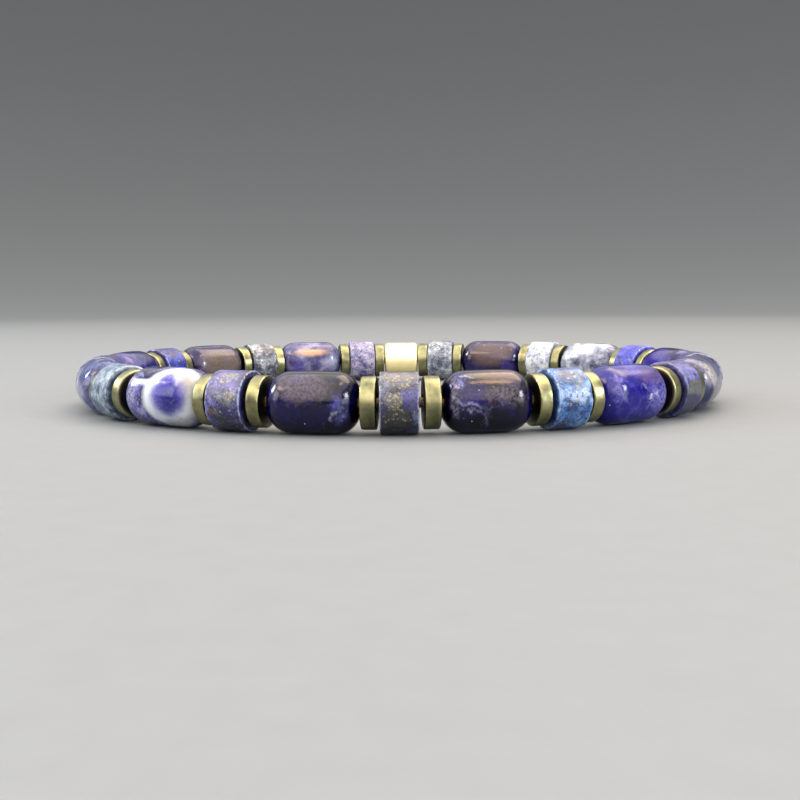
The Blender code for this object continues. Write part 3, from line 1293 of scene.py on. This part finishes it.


# Each barrel's own colouring, by its number; some marks are painted reflections and highlights
SODALITE_LOOKS: dict[int, SodaliteLook] = {
    1: SodaliteLook(
        deep=paint(6, 5, 22),
        body=paint(12, 10, 44),
        light=paint(30, 25, 84),
        veins=0.15,
        sparkle=0.9,
        marks=(
            Mark(-3.9, 4, (1.2, 3.2, 1.4), paint(172, 168, 200), 0.9, 0.7, 0.9, Fray.FEATHERED),
            Mark(-1.9, 14, (2, 2, 1.5), paint(64, 54, 126), 0.9, 0.75, 0.7),
            Mark(-3.3, 46, (1.4, 1.3, 1.2), paint(140, 138, 200), 0.9, 0.8, 1, Fray.FEATHERED),
            Mark(-2.3, 60, (1.1, 0.3, 0.8), MIST, 0.9, 0.7, 0.6, Fray.FEATHERED, turn=30),
            Mark(-3.2, 36, (0.9, 0.25, 0.6), MIST, 0.9, 0.7, 0.5, Fray.FEATHERED, turn=-40),
            Mark(-2.7, 4, (2.8, 0.32, 1.2), MIST, 1, 0.6, 0.6, turn=18),
            Mark(-3.2, 2, (0.2, 2, 0.9), LILAC, 1, 0.6, turn=4),
            Mark(-2.2, -9, (0.9, 0.5, 0.5), MIST, 1, 0.6, 0.7, Fray.FEATHERED),
            Mark(-1, -16, (1.2, 0.5, 0.5), LILAC, 1, 0.5, 0.9, Fray.FEATHERED, turn=25),
            Mark(-0.6, -34, (0.3, 1.6, 0.8), LILAC, 1, 0.3, 0.9, Fray.FEATHERED, turn=-12),
            Mark(3.9, 4, (0.7, 1.6, 0.8), paint(112, 108, 136), 1, 0.45, 0.9, Fray.FEATHERED),
            Mark(-3.7, 38, (0.5, 0.5, 0.5), SNOW, 1, 0.8, 0.3, Fray.FEATHERED),
            # Painted reflection: a mauve-grey haze and a tan band of warm light over the upper half
            Mark(1.3, 17, (3, 1.6, 0.8), paint(126, 112, 116), 0.7, 0.55, 1, Fray.FEATHERED),
            Mark(0.8, 60, (3.2, 1.5, 1), paint(120, 92, 78), 0.6, 0.5, 0.4, Fray.SMOOTH),
        ),
    ),
    2: SodaliteLook(
        deep=paint(20, 17, 108),
        body=paint(38, 34, 132),
        light=paint(88, 80, 174),
        veins=0.3,
        sparkle=1,
        milkiness=0.3,
        marks=(
            Mark(2.2, 0, (2.6, 2.8, 1.2), paint(122, 120, 176), 0.7, 0.75, 1, Fray.FEATHERED),
            Mark(-3.4, 10, (1, 2.6, 1), paint(138, 142, 200), 0.8, 0.7, 0.7, Fray.FEATHERED),
            Mark(0, 16, (0.9, 0.35, 0.5), LILAC, 0.8, 0.8, 0.5, Fray.FEATHERED, turn=35),
            Mark(1, -12, (0.8, 0.3, 0.5), LILAC, 0.8, 0.6, 0.5, Fray.FEATHERED, turn=-30),
            Mark(1.6, 4, (0.7, 0.25, 0.4), MIST, 0.8, 0.8, 0.4, Fray.FEATHERED, turn=50),
            Mark(0.9, -1, (0.5, 0.35, 0.4), SNOW, 0.9, 0.9, 0.5, Fray.FEATHERED, turn=-20),
            Mark(2.2, -10, (0.6, 0.3, 0.4), paint(150, 156, 206), 0.8, 0.7, 0.5, Fray.FEATHERED, turn=20),
            Mark(-2.8, 42, (1.3, 1.2, 1), LILAC, 0.9, 0.5, 0.9, Fray.FEATHERED),
            # Painted reflection: a mauve band along the top
            Mark(1.4, 42, (2.8, 1.4, 1), paint(104, 82, 112), 0.7, 0.65),
        ),
    ),
    3: SodaliteLook(
        deep=paint(42, 46, 92),
        body=paint(76, 80, 122),
        light=paint(130, 132, 156),
        vein=SMOKE,
        veins=0.8,
        milkiness=0.25,
        mottling=0.5,
        marks=(
            Mark(-2.6, 30, (2.5, 2.7, 1.6), paint(210, 206, 190), 0.8, 0.85, 0.6),
            Mark(0.6, 16, (2.4, 0.4, 0.8), paint(66, 72, 116), 0.9, 0.8, 0.5, Fray.FEATHERED, turn=40),
            Mark(0.9, 46, (2.2, 0.5, 0.8), paint(70, 76, 122), 0.9, 0.8, 0.5, Fray.FEATHERED, turn=-30),
            Mark(-2.6, -30, (4.2, 2.6, 1.8), paint(32, 40, 72), 0.8, 0.92, 0.3),
            Mark(2, -36, (3.6, 2.6, 1.6), paint(32, 38, 72), 0.8, 0.9, 0.4),
        ),
    ),
    4: SodaliteLook(body=INDIGO, light=VIOLET, veins=0.6),
    5: SodaliteLook(
        deep=paint(60, 66, 96), body=paint(150, 156, 176), light=SNOW, milkiness=0.25
    ),
    6: SodaliteLook(
        body=paint(24, 20, 66),
        light=paint(54, 46, 104),
        veins=0.3,
        marks=(
            # Painted reflection of a warm wall over the inner side's upper half
            Mark(-0.3, 26, (4.6, 3.1, 1.4), PAINTED_TAUPE_REFLECTION, 0.6, 0.9, 0.3, Fray.SMOOTH, side=Side.INNER),
            Mark(-2.8, -6, (1.8, 1.6, 1), VIOLET, 0.9, 0.5, 0.6, side=Side.INNER),
        ),
    ),
    7: SodaliteLook(
        deep=paint(36, 34, 82),
        body=paint(82, 80, 124),
        light=paint(150, 148, 180),
        veins=0.3,
        marks=(
            # Painted reflection: the orange band of a warm lamp
            Mark(0.4, 32, (3.4, 0.9, 1.2), PAINTED_AMBER_REFLECTION, 0.8, 0.85, 0.2, Fray.SMOOTH, side=Side.INNER),
            # Painted highlight: a grey-white haze at the end
            Mark(-3, 2, (1.8, 2.6, 1.2), MIST, 0.9, 0.7, 0.4, Fray.SMOOTH, side=Side.INNER),
            Mark(2.4, -12, (1.9, 1.4, 1.2), VIOLET, 0.9, 0.6, 0.3, Fray.SMOOTH, side=Side.INNER),
        ),
    ),
    8: SodaliteLook(
        body=paint(28, 24, 74),
        light=paint(58, 50, 112),
        veins=0.3,
        marks=(
            # Painted reflection of a warm wall over the inner side
            Mark(-0.2, 14, (4.6, 3, 1.4), paint(118, 106, 94), 0.5, 0.9, 0.3, Fray.SMOOTH, side=Side.INNER),
        ),
    ),
    9: SodaliteLook(body=paint(34, 32, 100), light=paint(92, 88, 150), veins=0.5),
    10: SodaliteLook(
        deep=paint(46, 54, 112),
        body=paint(88, 98, 156),
        light=paint(170, 180, 208),
        veins=0.6,
        milkiness=0.25,
        mottling=0.5,
        marks=(
            Mark(3.6, 4, (1.3, 2.4, 1), paint(138, 130, 134), 0.9, 0.75, 0.8, Fray.FEATHERED),
            Mark(3.8, -30, (1, 1.3, 0.8), paint(50, 46, 62), 0.9, 0.7, 0.7, Fray.FEATHERED),
        ),
    ),
    11: SodaliteLook(
        deep=paint(30, 26, 70),
        body=paint(86, 82, 160),
        light=paint(190, 194, 226),
        vein=MIST,
        veins=0.15,
        mottling=0.7,
        milkiness=0.2,
        marks=(
            Mark(-2.8, 12, (1.5, 3, 1.5), MIST, 0.8, 0.7, 0.9, Fray.FEATHERED),
            Mark(-1.6, 60, (2.8, 2, 1.5), paint(10, 14, 60), 0.6, 1, 0.3),
            Mark(-2.4, 50, (1.5, 0.3, 0.8), paint(160, 176, 226), 0.9, 0.8, 0.7, Fray.FEATHERED, turn=35),
            Mark(-1, 62, (1.2, 0.25, 0.8), paint(130, 146, 210), 0.9, 0.7, 0.7, Fray.FEATHERED, turn=-30),
            Mark(2.7, 8, (4.1, 4.4, 3.6), paint(230, 240, 248), 0.2, 1, 0, Fray.SMOOTH),
            Mark(3.2, -60, (3, 1.5, 2), paint(150, 152, 150), 0.6, 0.7, 0.4),
            Mark(4.1, 34, (1.5, 2.6, 2.6), paint(150, 134, 104), 0.8, 0.8, 0.2),
            Mark(2.4, 7, (3, 2.9, 1.8), paint(132, 126, 204), 0.5, 0.7, 0.3),
            Mark(2.4, 6, (2.8, 2.6, 1.8), paint(68, 60, 168), 0.55, 0.95, 0.15, Fray.SMOOTH),
            Mark(1.9, 34, (1.3, 2.1, 1.3), paint(72, 64, 170), 0.6, 0.9, 0.15, Fray.SMOOTH),
            Mark(2.7, 0, (2.2, 2.2, 1.6), paint(18, 14, 108), 0.9, 0.95, 0.15, Fray.SMOOTH),
        ),
    ),
    12: SodaliteLook(
        deep=paint(5, 4, 16),
        body=paint(10, 8, 44),
        light=paint(24, 20, 84),
        mottling=0.5,
        sparkle=1,
        veins=0.15,
        marks=(
            # Painted reflection: a mauve-brown haze over the upper half
            Mark(-0.7, 34, (3.7, 2.3, 1), paint(110, 98, 110), 0.5, 0.62, 0.7, Fray.FEATHERED),
            Mark(3.2, -10, (1.3, 2.8, 1), paint(102, 104, 158), 1, 0.8, 0.8, Fray.FEATHERED),
            Mark(2.7, 4, (0.6, 0.9, 0.6), paint(84, 86, 170), 0.9, 0.8, 0.5, Fray.FEATHERED, turn=20),
            Mark(3.5, -26, (0.4, 1.4, 0.6), LILAC, 1, 0.8, 0.6, Fray.FEATHERED, turn=-12),
            Mark(2.4, -16, (0.3, 1, 0.5), MIST, 1, 0.6, 0.6, Fray.FEATHERED, turn=15),
            Mark(-4, 10, (0.6, 2.6, 1), paint(96, 100, 136), 0.9, 0.7, 0.7, Fray.FEATHERED),
            Mark(0.6, 4, (1.6, 0.4, 0.5), paint(72, 72, 120), 1, 0.5, 0.8, Fray.FEATHERED, turn=8),
        ),
    ),
}

# Each wheel's own colouring, by its number; some marks are painted highlights, light and shade
LAPIS_LOOKS: dict[int, LapisLook] = {
    1: LapisLook(
        dark=paint(8, 9, 28),
        body=paint(28, 32, 84),
        light=paint(68, 76, 118),
        chalkiness=0.25,
        ash=paint(82, 88, 72),
        ashiness=0.5,
        rim=paint(226, 236, 252),
        depth=0.48,
        marks=(
            # Painted highlight over the stone's own mauve: a paler top
            Mark(0.1, 62, (2.6, 1.5, 1.5), paint(124, 118, 146), 0.6, 0.8, 0.7),
            # Painted highlight: a pale blue-white glint on the left rim
            Mark(-1.5, 36, (0.7, 1.7, 1), paint(150, 156, 186), 0.7, 0.8, 0.8),
            Mark(1, 16, (1.2, 1.3, 0.9), paint(84, 78, 168), 0.7, 0.95, 0.3),
            Mark(-1.3, -8, (0.8, 1.8, 0.9), paint(64, 70, 140), 0.8, 0.7),
            # Painted shade over the stone's own dark: a near-black underside
            Mark(0, -26, (2.4, 2.4, 1.4), paint(9, 10, 26), 0.6, 0.95, 0.4),
            Mark(1.5, -24, (0.4, 1.4, 0.8), paint(120, 140, 190), 0.9, 0.7, 0.4),
        ),
        golden=(
            Mark(-0.1, 56, (2, 1.6, 1.2), PYRITE, 0.5, 0.6),
            Mark(-0.5, 9, (1.2, 0.9, 0.8), PYRITE, 0.4, 0.75),
            Mark(-0.2, -22, (1.7, 1.7, 1), PYRITE, 0.6, 0.22),
        ),
    ),
    2: LapisLook(
        dark=paint(14, 34, 88),
        body=paint(64, 118, 192),
        light=paint(142, 182, 226),
        rim=paint(206, 226, 250),
        marks=(
            Mark(0.1, 50, (2.2, 1.7, 1.3), paint(78, 90, 106), 0.7, 0.8, 0.6),
            # Painted highlight: a pale blue band of lamp light across the middle
            Mark(0.2, 7, (1.8, 0.6, 0.8), paint(196, 222, 246), 0.9, 0.85, 0.4, turn=4),
            Mark(-0.3, -30, (1.8, 1.5, 1.2), paint(40, 96, 156), 0.8, 0.7),
        ),
        golden=(Mark(0.6, 30, (0.9, 0.8, 0.6), PYRITE, 0.6, 0.4),),
    ),
    3: LapisLook(
        body=paint(44, 44, 116),
        chalkiness=0.15,
        ashiness=0.1,
        rim=paint(132, 136, 158),
        marks=(
            # Painted light over the stone's own violet: a paler top
            Mark(0, 40, (2.3, 1.9, 1.2), paint(134, 136, 204), 0.6, 0.85, 0.6),
            Mark(0, 5, (2.2, 1.1, 1.2), paint(104, 106, 100), 0.4, 1, 0.3),
            # Painted shade over the stone's own navy: a near-black underside
            Mark(0.1, -32, (2.4, 2.1, 1.2), paint(10, 8, 76), 0.5, 1, 0.1),
        ),
    ),
    4: LapisLook(),
    5: LapisLook(
        dark=paint(20, 20, 120), body=paint(46, 50, 204), light=paint(100, 112, 240), chalkiness=0.15
    ),
    6: LapisLook(
        dark=paint(116, 126, 160), body=paint(200, 208, 214), light=SNOW, chalkiness=0.7, depth=0.64
    ),
    7: LapisLook(
        dark=paint(58, 66, 90), body=paint(134, 142, 160), light=paint(202, 212, 206)
    ),
    8: LapisLook(
        dark=paint(52, 50, 108), body=paint(132, 128, 172), light=LILAC_WHITE, chalkiness=0.6
    ),
    9: LapisLook(body=paint(88, 94, 116), light=paint(178, 184, 184)),
    10: LapisLook(
        dark=paint(14, 18, 84), body=paint(28, 38, 142), light=paint(64, 84, 194), chalkiness=0.1
    ),
    11: LapisLook(),
    12: LapisLook(
        dark=paint(50, 66, 84),
        body=paint(96, 122, 158),
        light=paint(170, 194, 208),
        rim=paint(206, 220, 228),
    ),
    13: LapisLook(
        dark=paint(14, 16, 44),
        body=paint(54, 52, 128),
        light=paint(124, 124, 196),
        rim=paint(214, 230, 250),
        depth=0.53,
        marks=(
            # Painted light over the stone's own violet: a paler top
            Mark(0, 48, (2.4, 1.9, 1.4), paint(122, 120, 206), 0.6, 0.7),
            Mark(0.2, 12, (2.1, 0.8, 1), paint(144, 150, 166), 0.7, 0.8, 0.6, turn=12),
            # Painted shade over the stone's own dark: a near-black underside
            Mark(0.2, -40, (2.4, 2, 1.4), paint(10, 13, 30), 0.8, 0.9, 0.4),
            Mark(0.7, -14, (0.9, 0.8, 0.8), paint(48, 52, 132), 0.8, 0.8, 0.3),
            Mark(-0.9, -16, (0.7, 0.7, 0.6), BRONZE, 0.7, 0.9, 0.3),
        ),
        golden=(
            Mark(0.1, 56, (1.5, 0.9, 0.8), PYRITE, 0.6, 0.75),
            Mark(0.8, 14, (0.9, 0.9, 0.6), PYRITE, 0.6, 0.6),
            Mark(-0.9, -16, (0.6, 0.6, 0.5), PYRITE, 0.6, 0.4),
        ),
    ),
}


@dataclass
class BeadString:
    """All the beads on their cord."""

    stations: list[Station]
    barrel: SodaliteBarrel = field(default_factory=SodaliteBarrel)
    wheel: LapisWheel = field(default_factory=LapisWheel)
    spacer: BrassSpacer = field(default_factory=BrassSpacer)
    gold: GoldBead = field(default_factory=GoldBead)
    cord: ElasticCord = field(default_factory=ElasticCord)

    def build(self) -> None:
        """Builds every bead and the cord, and reports each."""
        brass = AntiqueBrass().make()
        gold = PolishedGold().make()
        makers: dict[str, Callable[[Station], Object]] = {
            "sodalite": lambda s: self.barrel.build(s, SodaliteFinish(SODALITE_LOOKS[s.number]).make(s)),
            "lapis": lambda s: self.wheel.build(s, LapisFinish(LAPIS_LOOKS[s.number]).make(s)),
            "brass": lambda s: self.spacer.build(s, brass),
            "gold": lambda s: self.gold.build(s, gold),
        }
        for station in snug(self.stations):
            piece = makers[station.node.split("_")[0]](station)
            log.info("%s at %.0f degrees", piece.name, degrees(station.heading))
        cord = self.cord.build(self.stations, AmberElastic().make())
        log.info("%s", cord.name)


@dataclass(frozen=True)
class SoftBox:
    """One plain light panel that faces the bracelet; angles in degrees, lengths in metres."""

    name: str
    azimuth: float
    elevation: float
    distance: float
    width: float
    height: float
    glow: float
    tint: Colour = (1.0, 1.0, 1.0)

    def place(self) -> Object:
        """Hangs the panel; its glow is its brightness, so a larger panel gives more light.

        Returns:
            The light.
        """
        light = bpy.data.lights.new(self.name, "AREA")
        light.shape = "RECTANGLE"
        light.size = self.width
        light.size_y = self.height
        light.energy = self.glow * pi * self.width * self.height
        light.color = self.tint
        made = add_object(self.name, light)
        azimuth, elevation = radians(self.azimuth), radians(self.elevation)
        way = Vector((sin(azimuth) * cos(elevation), -cos(azimuth) * cos(elevation), sin(elevation)))
        made.location = way * self.distance
        made.rotation_euler = way.to_track_quat("Z", "Y").to_euler()
        made.visible_camera = False
        return made


@dataclass
class Studio:
    """The pale floor, the lights and the camera. An azimuth of 0 is the camera's side.

    Lengths are in metres, but the lens and the sensor are in millimetres; angles in degrees.
    """

    floor_flat: float = 0.9
    floor_reach: float = 1.5
    floor_rise: float = 0.6
    floor_bend: float = 0.4
    floor_bend_steps: int = 16
    floor_turns: int = 96
    floor_merge: float = 0.0001
    room_tint: Colour = (0.97, 0.93, 0.9)
    horizon: tuple[float, float] = (0.1, 0.4)
    room_glow: tuple[float, float] = (0.2, 0.8)
    camera_distance: float = 0.12012
    camera_height: float = 0.013027
    camera_pitch: float = 6.167
    camera_yaw: float = 0.063
    camera_roll: float = -0.401
    camera_lens: float = 43.9
    camera_sensor: float = 36.0
    camera_clip: tuple[float, float] = (0.005, 10.0)
    panels: tuple[SoftBox, ...] = (
        SoftBox("front_panel", 0, 33, 0.5, 0.6, 0.39, 3.0, (0.98, 0.87, 0.86)),
        SoftBox("ceiling_panel", 0, 92, 0.55, 1.1, 0.82, 2.5, (0.97, 0.95, 0.9)),
        SoftBox("left_window", -68, 20, 0.5, 0.25, 0.22, 5.0, (0.92, 0.97, 1.0)),
        SoftBox("right_window", 52, 8, 0.5, 0.3, 0.13, 5.0, (0.92, 0.97, 1.0)),
        SoftBox("back_panel", 180, 40, 0.5, 0.7, 0.28, 0.75, (1.0, 0.9, 0.84)),
        SoftBox("left_warm_panel", -62, 47, 0.5, 0.2, 0.12, 10.0, (1.0, 0.68, 0.46)),
        SoftBox("warm_wall", 136, 60, 0.5, 0.34, 0.28, 4.8, (1.0, 0.72, 0.52)),
        SoftBox("warm_lamp", 60, 68, 0.5, 0.1, 0.08, 14.0, (1.0, 0.6, 0.34)),
        SoftBox("left_lamp", -103, 28, 0.5, 0.12, 0.14, 28.0, (0.94, 0.98, 1.0)),
        SoftBox("right_lamp", 60, 23, 0.5, 0.13, 0.13, 28.0, (0.95, 0.98, 1.0)),
    )

    def build(self) -> None:
        """Sets up the floor, the lights and the camera."""
        self.build_floor()
        for panel in self.panels:
            panel.place()
        self.build_world()
        self.build_camera()

    def build_floor(self) -> None:
        """Makes a wide round floor whose rim sweeps up, so that every view ends in it."""
        shape = bmesh.new()
        places = ((0.0, 0.0), (self.floor_flat, 0.0), (self.floor_reach, self.floor_rise))
        points = [shape.verts.new((x, 0.0, z)) for x, z in places]
        for pair in zip(points, points[1:]):
            shape.edges.new(pair)
        round_points(shape, [points[1]], self.floor_bend, self.floor_bend_steps)
        spin_whole(shape, (0, 0, 1), self.floor_turns, self.floor_merge)
        floor = make_object("floor", shape, PaleFloor().make())

    def build_world(self) -> None:
        """Gives the room a pale light that is stronger from above."""
        world = bpy.data.worlds.new("room")
        world.use_nodes = True
        tree = world.node_tree
        place = tree.nodes.new("ShaderNodeTexCoord")
        parts = tree.nodes.new("ShaderNodeSeparateXYZ")
        rise = tree.nodes.new("ShaderNodeMapRange")
        rise.interpolation_type = "SMOOTHSTEP"
        for name, value in zip(("From Min", "From Max", "To Min", "To Max"), self.horizon + self.room_glow):
            rise.inputs[name].default_value = value
        background = tree.nodes["Background"]
        background.inputs["Color"].default_value = (*self.room_tint, 1.0)
        tree.links.new(place.outputs["Generated"], parts.inputs["Vector"])
        tree.links.new(parts.outputs["Z"], rise.inputs["Value"])
        tree.links.new(rise.outputs["Result"], background.inputs["Strength"])
        bpy.context.scene.world = world
        bpy.context.scene.view_settings.view_transform = "Standard"

    def build_camera(self) -> None:
        """Sets the camera where the photograph was taken from."""
        camera = bpy.data.cameras.new("camera")
        camera.sensor_width = self.camera_sensor
        camera.lens = self.camera_lens
        camera.clip_start, camera.clip_end = self.camera_clip
        made = add_object("camera", camera)
        made.matrix_world = (
            Matrix.Translation((0.0, -self.camera_distance, self.camera_height))
            @ Matrix.Rotation(-radians(self.camera_yaw), 4, "Z")
            @ Matrix.Rotation(radians(90 - self.camera_pitch), 4, "X")
            @ Matrix.Rotation(radians(self.camera_roll), 4, "Z")
        )
        bpy.context.scene.camera = made


def main() -> None:
    """Builds the bracelet and its studio."""
    logging.basicConfig(level=logging.INFO)
    Studio().build()
    log.info("studio ready")
    BeadString(survey(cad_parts)).build()


if __name__ == "__main__":
    main()
